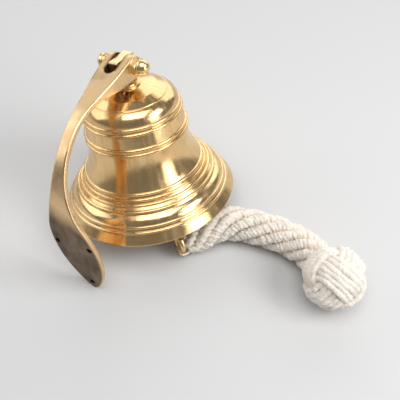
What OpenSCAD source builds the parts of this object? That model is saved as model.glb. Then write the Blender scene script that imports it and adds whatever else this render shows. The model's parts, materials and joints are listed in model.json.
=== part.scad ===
// Ship bell with a swan-neck wall bracket and a rope lanyard.
// The bell stands tilted on a table: its mouth touches the table on the far side,
// and the tip of the bracket's wall plate touches it on the near side.
// Origin: centre of the footprint of the metal parts, on the table. +Z is up.

/* [Bell] */
// Diameter of the bell's mouth
mouth_d = 150; // [149:0.5:151]
// Thickness of the turned wall at the waist
wall = 4; // [3.5:0.25:4.5]
// Radius of the small turned beads
bead_r = 1.4; // [1.2:0.1:1.5]

/* [Bracket] */
// Thickness of the swan-neck arm and its wall plate
arm_t = 4.5; // [4:0.25:5]
// Greatest width of the leaf-shaped wall plate
plate_w = 42; // [40:1:44]
// Diameter of the three screw holes
screw_d = 4.5; // [4:0.1:5]
// Width across the fork
fork_w = 24; // [24:0.5:26]
// Width of the slot in the fork
slot_w = 10; // [9.5:0.25:10.5]

/* [Clapper] */
// Diameter of the clapper's ball
ball_d = 26; // [24:1:28]
// Diameter of the clapper's rod
rod_d = 7; // [6:0.5:8]

/* [Lanyard] */
// Diameter of the plaited rope over its ridges
rope_d = 30; // [28:1:30]
// Diameter of the ball knot
knot_d = 54; // [52:1:54]

/* [View] */
// Sub-part to draw

/* [Hidden] */
$fn = 96;

brass = [0.86, 0.68, 0.36];
brass_satin = [0.66, 0.53, 0.33];
brass_inner = [0.72, 0.55, 0.28];
cotton = [0.93, 0.90, 0.84];

// Pose of the bell on the table
lean = 16.1;                      // tilt of the bell's axis from vertical
lean_az = 116.4;                  // compass direction that the axis leans to
yaw = -29.8;                      // turn of the bracket about the bell's axis
rim_round = 1;                    // round on the mouth's outer edge
mouth_r = mouth_d / 2;
seat_h = (mouth_r - rim_round) * sin(lean) + rim_round * (1 - cos(lean));
seat_xy = [0.13, 10.46];             // centre of the mouth above the table's origin

// Heights above the mouth, along the bell's axis
pivot_z = 124;                    // middle of the fork's round end
bolt_z = 125.3;                   // cross bolt through the fork and the crown lug
collar_z = 107.5;                 // flat on top of the crown
crown_in_z = 101.5;               // flat under the crown
hinge_z = 76;                     // wire of the hanger eye, where the clapper hangs

// Cross bolt and its nuts
bolt_r = 4;
fit = 0.05;
lug_t = 8.4;
lug_half = 11.3;
lug_top = 131.5;
nut_h = 4;                        // thin lock nut under the acorn nut
prong_x = fork_w / 2;

// Hanger eye and clapper
eye_r = 6.5;
eye_wire = 2.2;
top_r = 6;
top_wire = 2;
top_drop = top_r - top_wire - eye_wire - fit;
clap_az = -32.4;                  // direction in which the clapper is pulled
clap_tilt = 28.9;                 // angle between the clapper and the bell's axis
clap_len = 123;                   // hinge to the end of the tail
ball_at = 78;
tail_r = 6.8;
tail_wire = 2.6;
loop_wire = 2.9;
loop_r = tail_wire + loop_wire + 0.3;

// Side outline of the bracket: a straight neck, one long arc, a straight plate
arc_c = [30.5, 46.5];
arc_r = 74.6;
arc_top = 78;
plate_tilt = 8;
tip_z = -35.8;
fork_r = 9.3;

// Lanyard: points along the middle of the rope, then the middle of the knot
rope_route = [[34, -43, 10], [40, -38, 12], [46, -33.5, 14], [52, -29.5, 15.5],
              [59, -26, 15.5], [66, -24, 15.5], [74, -23.5, 15.5], [82, -24.5, 15.5],
              [90, -26.5, 15.5], [98, -29, 15.5], [106, -32, 15.5], [114, -35.5, 15.5],
              [121, -39.5, 15.5], [128, -44.5, 16], [134, -50.5, 17.5], [139, -57.5, 19.5],
              [143, -65, 22]];
rope_taper = [7.5, 10.5, 13];     // radii of the first rings, where the strands gather
knot_at = [153, -84, 27.2];

// Points on an arc in the plane, from angle a0 to a1
function arc(c, r, a0, a1, n = 16) =
    [for (i = [0 : n]) let (a = a0 + (a1 - a0) * i / n) [c[0] + r * cos(a), c[1] + r * sin(a)]];

// Point on the plate's outer face at height z
function plate_p(z) =
    arc_c[0] + arc_r * cos(plate_tilt)
    - tan(plate_tilt) * (arc_c[1] - arc_r * sin(plate_tilt) - z);

// Sweep a round tube along a route, with one ring at each point
function unit(v) = v / norm(v);
function route_dir(p, i) = unit(p[min(i + 1, len(p) - 1)] - p[max(i - 1, 0)]);
function ring(c, d, r, sides) =
    let (u = unit(cross([0, 0, 1], d)), v = cross(d, u))
    [for (k = [0 : sides - 1]) let (a = 360 * k / sides) c + r * (cos(a) * u + sin(a) * v)];
function rope_radius(i) = i < len(rope_taper) ? rope_taper[i] : rope_d / 2;

module tube(route, sides = 12) {
    n = len(route);
    rings = [for (i = [0 : n - 1]) each ring(route[i], route_dir(route, i), rope_radius(i), sides)];
    caps = [[for (k = [0 : sides - 1]) k],
            [for (k = [sides - 1 : -1 : 0]) (n - 1) * sides + k]];
    walls = [for (i = [0 : n - 2]) for (k = [0 : sides - 1])
             [i * sides + k, (i + 1) * sides + k,
              (i + 1) * sides + (k + 1) % sides, i * sides + (k + 1) % sides]];
    polyhedron(points = rings, faces = concat(caps, walls), convexity = 4);
}

// From the bell's own frame (axis on Z, mouth at z = 0) to the table
module on_table() {
    translate([seat_xy[0], seat_xy[1], seat_h])
        rotate(a = lean, v = [-sin(lean_az), cos(lean_az), 0])
            rotate([0, 0, yaw])
                children();
}

// From a frame that hangs down from the clapper's hinge to the bell's frame:
// -Z runs down the clapper, and the swing is in the XZ plane
module on_clapper() {
    on_table()
        translate([0, 0, hinge_z])
            rotate([0, 0, clap_az])
                rotate([0, -clap_tilt, 0])
                    children();
}

// Lay things out along the cross bolt, +Z of the child towards the acorn nut
module on_bolt(x = 0) {
    on_table()
        translate([x, 0, bolt_z])
            rotate([0, 90, 0])
                children();
}

module torus(r, wire) {
    rotate_extrude() translate([r, 0]) circle(r = wire, $fn = 48);
}

module hex(across, height) {
    cylinder(d = across / cos(30), h = height, $fn = 6);
}

// Half section of the bell: outside from the mouth up, then the inside back down
module bell_section() {
    k = mouth_r / 75;
    outside = concat(
        arc([mouth_r - rim_round, rim_round], rim_round, -90, 20, 6),
        [[70.4 * k, 7.8], [66.6 * k, 14.2]],
        arc([56.3 * k, 10.9], 10.8 * k, 18, 66, 8),
        [[58.2 * k, 24], [55.2 * k, 27], [51.8 * k, 31.5]],
        arc([90.4 * k, 62], 48 * k, 213, 178, 12),
        [[42.4 * k, 66], [42 * k, 72], [40.6 * k, 82], [39.4 * k, 89]],
        arc([26.6 * k, 89], 12.6 * k, 0, 62, 12),
        [[30.9 * k, 101.2], [24 * k, 104.6], [15 * k, 106.8], [12, collar_z]]);
    inside = concat(
        [[4.05, collar_z], [4.05, crown_in_z], [14, crown_in_z]],
        arc([(39.4 - wall - 11) * k, 88], 11 * k, 80, 0, 10),
        [[(42 - wall) * k, 68]],
        arc([(90.4 - wall) * k, 62], 48 * k, 178, 211, 12),
        [[50 * k, 27], [57 * k, 15], [63.5 * k, 7.5], [71.5 * k, 0]]);
    polygon(concat(outside, inside));
}

// Where the turned beads sit: radius and height
beads = [[40, 88.3], [41, 84.1], [42.9, 71.1], [43.2, 66.6], [51.4, 34.3],
         [53.2, 30], [56.4, 26.9], [60, 22.9], [67.4, 13], [69.8, 9.2]];

module bell_shell() {
    color(brass)
        on_table()
            rotate_extrude($fn = 128)
                difference() {
                    union() {
                        bell_section();
                        for (b = beads)
                            translate([(b[0] - 0.55 * bead_r) * mouth_r / 75, b[1]])
                                circle(r = bead_r, $fn = 24);
                    }
                    // the fine groove that frames the crown
                    translate([31.8 * mouth_r / 75, 100.9]) circle(r = 0.7, $fn = 24);
                }
}

module crown_collar() {
    color(brass)
        on_table()
            translate([0, 0, collar_z])
                difference() {
                    union() {
                        cylinder(r = 11.5, h = 1.8);
                        cylinder(r = 9.5, h = 3);
                    }
                    translate([0, 0, -1]) cylinder(r = 4, h = 5);
                }
}

// Side view of the lug: the corner over the wall plate is nearly square, the other one round
module lug_side() {
    near_r = 1.2;
    far_r = 2.4;
    polygon(concat(
        [[-lug_half, collar_z + 3], [lug_half, collar_z + 3]],
        arc([lug_half - far_r, lug_top - far_r], far_r, 0, 90, 16),
        arc([near_r - lug_half, lug_top - near_r], near_r, 90, 180, 6)));
}

// Flat lug in the fork, with the stud that goes down through the crown
module crown_lug() {
    color(brass)
        on_table()
            difference() {
                union() {
                    rotate([90, 0, 90])
                        linear_extrude(lug_t, center = true) lug_side();
                    translate([0, 0, hinge_z + 14.5])
                        cylinder(r = 4, h = collar_z + 4 - hinge_z - 14.5);
                }
                translate([-lug_t, 0, bolt_z]) rotate([0, 90, 0])
                    cylinder(r = bolt_r + fit, h = 2 * lug_t);
            }
}

module inner_washer() {
    color(brass_inner)
        on_table()
            translate([0, 0, crown_in_z - 1.5])
                difference() {
                    cylinder(r = 11, h = 1.5);
                    translate([0, 0, -1]) cylinder(r = 4, h = 4);
                }
}

module inner_nut() {
    color(brass_inner)
        on_table()
            translate([0, 0, crown_in_z - 8])
                difference() {
                    hex(13, 6.5);
                    translate([0, 0, -1]) cylinder(r = 4, h = 9);
                }
}

// Eye screwed on the end of the stud; the clapper hangs on its lower wire
module hanger_eye() {
    color(brass_inner)
        on_table()
            rotate([0, 0, clap_az])
                difference() {
                    union() {
                        translate([0, 0, hinge_z + 12.2]) cylinder(r = 5.5, h = 5.3);
                        translate([0, 0, hinge_z + eye_r]) rotate([0, 90, 0])
                            torus(eye_r, eye_wire);
                    }
                    translate([0, 0, hinge_z + 14.5]) cylinder(r = 4, h = 4);
                }
}

// Side view of the bracket, distance from the bell's axis across, height up
module bracket_side() {
    inner_r = arc_r - arm_t;
    tip = [plate_p(tip_z), tip_z];
    inward = arm_t * [cos(plate_tilt), -sin(plate_tilt)];
    polygon(concat(
        arc([0, pivot_z], fork_r, 266, 82, 24),
        arc(arc_c, arc_r, arc_top, -plate_tilt, 24),
        [tip, tip - inward],
        arc(arc_c, inner_r, -plate_tilt, arc_top + 3, 24),
        [[15, 114.5]]));
}

// Front view of the wall plate and the lower arm
module plate_front() {
    w = plate_w / 2;
    flat = 70;
    polygon(concat(
        [[5, 101], [5, 92], [6.4, 79], [8.2, 68], [11.3, 56]],
        arc([w - 95, 11], 95, 25, 0, 8),
        arc([w - flat, 11], flat, -3, -37, 10),
        arc([0, tip_z + 5.2], 5.2, -37, -143, 10),
        arc([flat - w, 11], flat, -143, -177, 10),
        arc([95 - w, 11], 95, 180, 155, 8),
        [[-11.3, 56], [-8.2, 68], [-6.4, 79], [-5, 92], [-5, 101]]));
}

// Top view of the fork and the neck that narrows to the arm
module neck_top() {
    half = [[-12, prong_x], [13, prong_x], [18, prong_x - 0.4], [24.4, 11], [30.5, 10.2],
            [36, 9.2], [41, 8.15], [46.5, 7.35], [52, 6.6], [58.5, 5.95],
            [65, 5.4], [72, 5], [95, 5]];
    polygon(concat(half, [for (i = [len(half) - 1 : -1 : 0]) [half[i][0], -half[i][1]]]));
}

module screw_holes() {
    for (h = [[-16, 20], [16, 20], [0, -27.5]])
        translate([h[0], -plate_p(h[1]), h[1]])
            rotate([90 + plate_tilt, 0, 0])
                translate([0, 0, -2 * arm_t]) cylinder(d = screw_d, h = 3 * arm_t, $fn = 48);
}

module wall_bracket() {
    color(brass_satin)
        on_table()
            difference() {
                intersection() {
                    rotate([90, 0, -90]) linear_extrude(60, center = true) bracket_side();
                    union() {
                        translate([0, 0, 0]) rotate([90, 0, 0])
                            linear_extrude(130) plate_front();
                        translate([0, 0, 95]) linear_extrude(50) rotate(-90) neck_top();
                    }
                }
                // the slot for the lug, with a round end
                translate([-slot_w / 2, -14.5, 100]) cube([slot_w, 40, 50]);
                translate([0, -14.5, 100]) cylinder(d = slot_w, h = 50);
                translate([-20, 0, bolt_z]) rotate([0, 90, 0]) cylinder(r = bolt_r, h = 40);
                screw_holes();
            }
}

// Bolt with a round head: a neck, a collar and a flattened dome
module pivot_bolt() {
    neck = 4.2;
    head = 6.3;
    color(brass)
        on_bolt() {
            translate([0, 0, -prong_x]) cylinder(r = bolt_r, h = 2 * prong_x + 1 + nut_h + 4.5);
            translate([0, 0, -prong_x - neck]) cylinder(r = 5.7, h = neck);
            translate([0, 0, -prong_x - head]) cylinder(r = 6, h = head - neck);
            translate([0, 0, -prong_x - head]) scale([1, 1, 0.73]) sphere(r = 6);
        }
}

module bolt_washer() {
    color(brass)
        on_bolt(prong_x)
            difference() {
                cylinder(r = 7.6, h = 1);
                translate([0, 0, -1]) cylinder(r = bolt_r, h = 3);
            }
}

module jam_nut() {
    color(brass)
        on_bolt(prong_x + 1)
            difference() {
                intersection() {
                    hex(13, nut_h);
                    translate([0, 0, -3.6]) sphere(r = 10);
                }
                translate([0, 0, -1]) cylinder(r = bolt_r, h = nut_h + 2);
            }
}

// Dome nut with a round collar at its foot
module acorn_nut() {
    color(brass)
        on_bolt(prong_x + 1 + nut_h)
            difference() {
                union() {
                    cylinder(r = 6.6, h = 1.5);
                    intersection() {
                        cylinder(r = 7, h = 9);
                        translate([0, 0, 1.7]) sphere(r = 6.2);
                    }
                }
                translate([0, 0, -1]) cylinder(r = bolt_r, h = 5.5);
            }
}

// Rod with an eye at each end; both eyes lie in the plane of the swing
module clapper_rod() {
    color(brass)
        on_clapper() {
            translate([0, 0, -top_drop]) rotate([90, 0, 0]) torus(top_r, top_wire);
            translate([0, 0, -ball_at])
                cylinder(d = rod_d, h = ball_at - top_drop - top_r + 0.6);
            translate([0, 0, -(clap_len - 2 * tail_wire - 2 * tail_r + 1.6)])
                cylinder(d1 = rod_d - 1.6, d2 = rod_d, h = clap_len - 2 * tail_wire - 2 * tail_r + 1.6 - ball_at);
            translate([0, 0, -(clap_len - tail_r - tail_wire)]) rotate([90, 0, 0])
                torus(tail_r, tail_wire);
        }
}

module clapper_ball() {
    color(brass)
        on_clapper()
            translate([0, 0, -ball_at])
                difference() {
                    sphere(d = ball_d);
                    translate([0, 0, -ball_d]) cylinder(d = rod_d, h = 2 * ball_d);
                }
}

// Loop of cord through the tail eye, round its lowest wire
module lanyard_loop() {
    color(cotton)
        on_clapper()
            translate([0, 0, -(clap_len - tail_wire)])
                rotate([0, 90, 0])
                    torus(loop_r, loop_wire);
}

module lanyard_rope() {
    color(cotton) tube(rope_route);
}

module ball_knot() {
    color(cotton) translate(knot_at) sphere(d = knot_d);
}

bell_shell();
crown_collar();
crown_lug();
inner_washer();
inner_nut();
hanger_eye();
wall_bracket();
pivot_bolt();
bolt_washer();
jam_nut();
acorn_nut();
clapper_rod();
clapper_ball();
lanyard_loop();
lanyard_rope();
ball_knot();
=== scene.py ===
"""Ship bell, tilted on a table, with its swan-neck wall bracket, clapper and plaited rope lanyard.

Sizes are in millimetres in the code and become metres where a mesh is made (MM).
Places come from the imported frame: the joints give the bell's and the clapper's own axes.
"""

import json
import math

import bmesh
import bpy
import numpy as np
from mathutils import Matrix, Vector


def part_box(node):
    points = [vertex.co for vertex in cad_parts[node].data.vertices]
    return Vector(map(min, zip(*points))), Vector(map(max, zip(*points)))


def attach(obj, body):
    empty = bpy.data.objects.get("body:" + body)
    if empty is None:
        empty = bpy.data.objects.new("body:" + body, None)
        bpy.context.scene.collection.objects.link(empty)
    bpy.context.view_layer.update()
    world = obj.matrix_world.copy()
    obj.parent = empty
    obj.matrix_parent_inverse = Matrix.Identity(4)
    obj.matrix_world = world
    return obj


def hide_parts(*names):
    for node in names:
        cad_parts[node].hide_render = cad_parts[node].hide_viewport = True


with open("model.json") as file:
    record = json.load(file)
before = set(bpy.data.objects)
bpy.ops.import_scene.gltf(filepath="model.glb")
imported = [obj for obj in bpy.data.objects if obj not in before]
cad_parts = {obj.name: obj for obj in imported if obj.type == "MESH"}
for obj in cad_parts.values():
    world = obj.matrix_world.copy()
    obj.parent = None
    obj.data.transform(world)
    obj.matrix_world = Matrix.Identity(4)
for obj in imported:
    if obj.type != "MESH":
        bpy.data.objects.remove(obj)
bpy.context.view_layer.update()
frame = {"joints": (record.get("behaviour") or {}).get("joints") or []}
MM = 0.001
PLY_DEPTH = 0.2  # depth of the grooves between a cord's plies, as a share of its radius
rng = np.random.default_rng(7)
scene = bpy.context.scene

# ---------------------------------------------------------------- frames of the moving bodies

JOINTS = {j["name"]: j for j in frame["joints"]}


def unit(v):
    """The vector at length 1."""
    v = np.asarray(v, float)
    return v / np.linalg.norm(v)


PIVOT = np.array(JOINTS["bracket_pivot"]["pos_m"]) / MM
HINGE = np.array(JOINTS["clapper_swing"]["pos_m"]) / MM
TAIL = np.array(JOINTS["lanyard_swing"]["pos_m"]) / MM

BOLT_Z = 125.3  # height of the cross bolt above the mouth
FORK_Z = 124.0  # height of the middle of the fork's round end
HINGE_Z = 76.0  # height of the clapper's hinge above the mouth

bell_z = unit(PIVOT - HINGE)
bell_x = -unit(JOINTS["bracket_pivot"]["axis"])
bell_y = np.cross(bell_z, bell_x)
BELL = (np.stack([bell_x, bell_y, bell_z], 1), HINGE - HINGE_Z * bell_z)

clap_y = unit(JOINTS["clapper_swing"]["axis"])
clap_z = unit(HINGE - TAIL)
clap_x = np.cross(clap_y, clap_z)
CLAPPER = (np.stack([clap_x, clap_y, clap_z], 1), HINGE)


def place(points, where):
    """Points in a body's own frame, moved to the table's frame."""
    turn, origin = where
    return np.asarray(points, float) @ turn.T + origin


# ---------------------------------------------------------------- camera

ELEVATION = 54.0
camera_data = bpy.data.cameras.new("camera")
camera_data.lens = 58.5
camera_data.sensor_width = 36.0
camera = bpy.data.objects.new("camera", camera_data)
camera.rotation_euler = (math.radians(90 - ELEVATION), 0, 0)
MOUTH = BELL[1]
FROM_MOUTH = np.array([44.9, -351.6, 467.0])
camera.location = Vector((MOUTH + FROM_MOUTH) * MM)
camera_data.clip_start = 0.01
camera_data.clip_end = 10
scene.collection.objects.link(camera)
scene.camera = camera

# ---------------------------------------------------------------- mesh helpers


def new_object(name, verts, faces, material, uvs=None, sharp=35.0, tint=None):
    """A mesh object from points in millimetres, with one material."""
    mesh = bpy.data.meshes.new(name)
    mesh.from_pydata((np.asarray(verts, float) * MM).tolist(), [], faces)
    if uvs is not None:
        layer = mesh.uv_layers.new(name="UVMap")
        flat = [c for face in uvs for uv in face for c in uv]
        layer.data.foreach_set("uv", flat)
    if tint is not None:
        colours = mesh.color_attributes.new("Tint", "FLOAT_COLOR", "POINT")
        rgba = np.ones((len(verts), 4))
        rgba[:, :3] = np.asarray(tint, float)[:, None]
        colours.data.foreach_set("color", rgba.ravel())
    mesh.polygons.foreach_set("use_smooth", [True] * len(mesh.polygons))
    mesh.update()
    if sharp is not None:
        mesh.set_sharp_from_angle(angle=math.radians(sharp))
    mesh.materials.append(material)
    obj = bpy.data.objects.new(name, mesh)
    scene.collection.objects.link(obj)
    return obj


def grid_faces(rows, cols):
    """Quads of a grid of points, rows by cols, closed round the columns."""
    return [
        (
            i * cols + j,
            i * cols + (j + 1) % cols,
            (i + 1) * cols + (j + 1) % cols,
            (i + 1) * cols + j,
        )
        for i in range(rows - 1)
        for j in range(cols)
    ]


def grid_uvs(rows, cols, us, vs):
    """UV corners to go with grid_faces: u runs round the columns, v along the rows."""
    return [
        [
            (us[j], vs[i]),
            (us[j + 1], vs[i]),
            (us[j + 1], vs[i + 1]),
            (us[j], vs[i + 1]),
        ]
        for i in range(rows - 1)
        for j in range(cols)
    ]


def catmull(points, step):
    """A smooth curve through the points, sampled about every step."""
    p = np.asarray(points, float)
    p = np.vstack([2 * p[0] - p[1], p, 2 * p[-1] - p[-2]])
    out = []
    for i in range(1, len(p) - 2):
        n = max(2, int(round(np.linalg.norm(p[i + 1] - p[i]) / step)))
        t = np.linspace(0, 1, n, endpoint=False)[:, None]
        a, b, c, d = p[i - 1], p[i], p[i + 1], p[i + 2]
        out.append(
            0.5
            * (
                2 * b
                + (c - a) * t
                + (2 * a - 5 * b + 4 * c - d) * t**2
                + (3 * b - a - 3 * c + d) * t**3
            )
        )
    return np.vstack(out + [p[-2][None]])


def along(points):
    """Distance along a polyline at each of its points."""
    return np.r_[0, np.cumsum(np.linalg.norm(np.diff(points, axis=0), axis=1))]


def tube(points, radius, sides, closed=False, ply_pitch=None):
    """Vertices, faces and UVs of a round tube, or of a cord laid from three plies."""
    p = np.asarray(points, float)
    n = len(p)
    if closed:
        tangent = np.roll(p, -1, 0) - np.roll(p, 1, 0)
    else:
        tangent = np.gradient(p, axis=0)
    tangent /= np.linalg.norm(tangent, axis=1)[:, None]
    normal = np.zeros_like(p)
    guide = np.array([0.0, 0.0, 1.0]) if abs(tangent[0][2]) < 0.9 else np.array([1.0, 0, 0])
    v = unit(guide - tangent[0] * (guide @ tangent[0]))
    for i in range(n):
        v = unit(v - tangent[i] * (v @ tangent[i]))
        normal[i] = v
    side = np.cross(tangent, normal)
    if closed:  # spread the frame's leftover twist over the loop
        left = math.atan2(side[0] @ v, normal[0] @ v)
        turn = -left * np.arange(n) / n
        c, s = np.cos(turn)[:, None], np.sin(turn)[:, None]
        normal, side = c * normal + s * side, c * side - s * normal
    r = np.broadcast_to(np.asarray(radius, float), (n,))
    angles = 2 * np.pi * np.arange(sides) / sides
    ring = np.cos(angles)[None, :, None] * normal[:, None]
    ring = ring + np.sin(angles)[None, :, None] * side[:, None]
    d = along(p)
    reach = np.broadcast_to(r[:, None], (n, sides))
    if ply_pitch:
        turn = np.abs(np.cos(1.5 * (angles[None] - 2 * np.pi * d[:, None] / ply_pitch)))
        reach = reach * (1 - PLY_DEPTH * (1 - turn) ** 1.5)
    verts = (p[:, None] + ring * reach[..., None]).reshape(-1, 3)
    faces = grid_faces(n, sides)
    us = np.arange(sides + 1) / sides
    uvs = grid_uvs(n, sides, us, d)
    if closed:
        faces += [
            ((n - 1) * sides + j, (n - 1) * sides + (j + 1) % sides, (j + 1) % sides, j)
            for j in range(sides)
        ]
        end = d[-1] + np.linalg.norm(p[0] - p[-1])
        uvs += [
            [(us[j], d[-1]), (us[j + 1], d[-1]), (us[j + 1], end), (us[j], end)]
            for j in range(sides)
        ]
    else:
        faces.append(tuple(range(sides))[::-1])
        faces.append(tuple((n - 1) * sides + j for j in range(sides)))
        uvs.append([(0, 0)] * sides)
        uvs.append([(0, d[-1])] * sides)
    return verts, faces, uvs


def lumpy(points, length, depth):
    """The points pushed about smoothly, by bumps about length across."""
    waves = rng.normal(0, 2 * np.pi / length, (12, 3))
    push = rng.normal(0, depth / math.sqrt(6), (12, 3))
    return points + np.sin(points @ waves.T + rng.uniform(0, 2 * np.pi, 12)) @ push


class Heap:
    """Collects parts of one mesh."""

    def __init__(self):
        self.verts, self.faces, self.uvs, self.tint, self.count = [], [], [], [], 0

    def add(self, verts, faces, uvs, tint):
        """Adds a part, with one tint or with one for each vertex."""
        self.verts.append(np.asarray(verts, float))
        self.faces += [tuple(i + self.count for i in f) for f in faces]
        self.uvs += uvs
        self.tint.append(np.broadcast_to(np.asarray(tint, float), (len(verts),)))
        self.count += len(verts)

    def make(self, name, material, floor):
        """The mesh object, with nothing of it below the floor's height."""
        verts = np.vstack(self.verts)
        verts[:, 2] = np.maximum(verts[:, 2], floor)
        tint = np.concatenate(self.tint)
        return new_object(name, verts, self.faces, material, self.uvs, None, tint)


def lathe(profile, where, segments):
    """Turns a profile of (radius, height) about a body's axis."""
    prof = np.asarray(profile, float)
    angles = 2 * np.pi * np.arange(segments) / segments
    x = prof[:, 0][:, None] * np.cos(angles)
    y = prof[:, 0][:, None] * np.sin(angles)
    z = np.broadcast_to(prof[:, 1][:, None], x.shape)
    verts = place(np.stack([x, y, z], -1).reshape(-1, 3), where)
    faces = grid_faces(len(prof), segments)
    uvs = grid_uvs(len(prof), segments, np.arange(segments + 1) / segments, along(prof))
    return verts, faces, uvs


# ---------------------------------------------------------------- materials


def nodes_of(name):
    """A new node material, its tree and its shader."""
    material = bpy.data.materials.new(name)
    material.use_nodes = True
    tree = material.node_tree
    return material, tree, tree.nodes["Principled BSDF"]


def node_adder(tree):
    """A function that adds a node to the tree and sets its type of sum or data and its inputs."""

    def add(kind, values=None, operation=None, data_type=None):
        node = tree.nodes.new(kind)
        if operation:
            node.operation = operation
        if data_type:
            node.data_type = data_type
        for key, value in (values or {}).items():
            node.inputs[key].default_value = value
        return node

    return add


def brass(name, colour, dark, rough, tarnish, turned=0.0, mask=False):
    """Brass with uneven tarnish, fine tool marks and slight waviness; on a turned piece, painted
    reflection streaks as well.
    """
    material, tree, shader = nodes_of(name)
    new, link = node_adder(tree), tree.links.new
    shader.inputs["Metallic"].default_value = 1.0
    place_in = new("ShaderNodeTexCoord")

    patches = new("ShaderNodeTexNoise", {"Scale": 28.0, "Detail": 6.0, "Roughness": 0.62})
    link(place_in.outputs["Object"], patches.inputs["Vector"])
    spread = new("ShaderNodeMapRange", {"From Min": 0.35, "From Max": 0.75, "To Max": tarnish})
    link(patches.outputs["Fac"], spread.inputs["Value"])
    # small dark specks where the lacquer has gone
    specks = new("ShaderNodeTexNoise", {"Scale": 480.0, "Detail": 2.0})
    link(place_in.outputs["Object"], specks.inputs["Vector"])
    few = new("ShaderNodeMapRange", {"From Min": 0.66, "From Max": 0.74, "To Max": 0.5})
    link(specks.outputs["Fac"], few.inputs["Value"])
    smears_and_streaks = new("ShaderNodeTexNoise", {"Detail": 4.0})
    if turned:
        # painted reflection streaks run down the bell: many round it, long along its side
        smears_and_streaks.inputs["Scale"].default_value = 1.0
        streak_stretch = new("ShaderNodeMapping", {"Scale": (60.0, 0.03, 1.0)})
        link(place_in.outputs["UV"], streak_stretch.inputs["Vector"])
        link(streak_stretch.outputs["Vector"], smears_and_streaks.inputs["Vector"])
    else:
        smears_and_streaks.inputs["Scale"].default_value = 70.0
        link(place_in.outputs["Object"], smears_and_streaks.inputs["Vector"])
    smeared_and_streaked = new(
        "ShaderNodeMapRange",
        {"From Min": 0.52, "From Max": 0.62, "To Max": 0.45 if turned else 0.2},
    )
    link(smears_and_streaks.outputs["Fac"], smeared_and_streaked.inputs["Value"])
    marked = new("ShaderNodeMath", operation="MAXIMUM")
    link(smeared_and_streaked.outputs["Result"], marked.inputs[0])
    link(few.outputs["Result"], marked.inputs[1])
    # tarnish, specks and smears darken the brass, and on a turned piece so do the painted
    # reflection streaks
    wear_and_streaks = new("ShaderNodeMath", operation="MAXIMUM")
    link(spread.outputs["Result"], wear_and_streaks.inputs[0])
    link(marked.outputs["Value"], wear_and_streaks.inputs[1])
    mix = new("ShaderNodeMix", {"A": (*colour, 1), "B": (*dark, 1)}, data_type="RGBA")
    link(wear_and_streaks.outputs["Value"], mix.inputs["Factor"])

    gloss = new(
        "ShaderNodeMapRange",
        {"From Min": 0.3, "From Max": 0.7, "To Min": rough * 0.55, "To Max": rough * 1.6},
    )
    link(smears_and_streaks.outputs["Fac"], gloss.inputs["Value"])
    if mask:
        # the wall side of the plate was never polished: browner and duller, in drawn-out patches
        dull = new("ShaderNodeVertexColor")
        dull.layer_name = "Tint"
        drawn = new("ShaderNodeMapping", {"Scale": (90.0, 70.0, 26.0)})
        link(place_in.outputs["Object"], drawn.inputs["Vector"])
        stain = new("ShaderNodeTexNoise", {"Scale": 1.0, "Detail": 6.0, "Roughness": 0.6})
        link(drawn.outputs["Vector"], stain.inputs["Vector"])
        stains = new("ShaderNodeValToRGB")
        stains.color_ramp.elements[0].position = 0.38
        stains.color_ramp.elements[0].color = (*TARNISHED, 1)
        stains.color_ramp.elements[1].position = 0.66
        stains.color_ramp.elements[1].color = (*HALF_TARNISHED, 1)
        link(stain.outputs["Fac"], stains.inputs["Fac"])
        brown = new("ShaderNodeMix", data_type="RGBA")
        link(dull.outputs["Color"], brown.inputs["Factor"])
        link(mix.outputs["Result"], brown.inputs["A"])
        link(stains.outputs["Color"], brown.inputs["B"])
        # painted shade: where the Tint alpha is low, in the screw holes, the colour goes to near
        # black
        hole_shade = new("ShaderNodeMix", {"A": (*HOLE_SHADE_COLOUR, 1)}, data_type="RGBA")
        link(dull.outputs["Alpha"], hole_shade.inputs["Factor"])
        link(brown.outputs["Result"], hole_shade.inputs["B"])
        link(hole_shade.outputs["Result"], shader.inputs["Base Color"])
        rougher = new("ShaderNodeMath", {1: 0.12}, operation="MULTIPLY_ADD")
        link(dull.outputs["Color"], rougher.inputs[0])
        link(gloss.outputs["Result"], rougher.inputs[2])
        link(rougher.outputs["Value"], shader.inputs["Roughness"])
    else:
        link(mix.outputs["Result"], shader.inputs["Base Color"])
        link(gloss.outputs["Result"], shader.inputs["Roughness"])

    marks = new("ShaderNodeTexNoise", {"Detail": 3.0})
    if turned:
        # rings left by the lathe: quick along the profile, slow round it
        marks.inputs["Scale"].default_value = 1.0
        rings = new("ShaderNodeMapping", {"Scale": (3.0, 1.6, 1.0)})
        link(place_in.outputs["UV"], rings.inputs["Vector"])
        link(rings.outputs["Vector"], marks.inputs["Vector"])
    else:
        marks.inputs["Scale"].default_value = 420.0
        link(place_in.outputs["Object"], marks.inputs["Vector"])
    bump = new("ShaderNodeBump", {"Strength": turned or 0.05, "Distance": 0.0002})
    link(marks.outputs["Fac"], bump.inputs["Height"])
    waves = new("ShaderNodeTexNoise", {"Scale": 40.0})
    link(place_in.outputs["Object"], waves.inputs["Vector"])
    hollow = new("ShaderNodeBump", {"Strength": 0.05, "Distance": 0.001})
    link(waves.outputs["Fac"], hollow.inputs["Height"])
    link(bump.outputs["Normal"], hollow.inputs["Normal"])
    link(hollow.outputs["Normal"], shader.inputs["Normal"])
    return material


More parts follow.
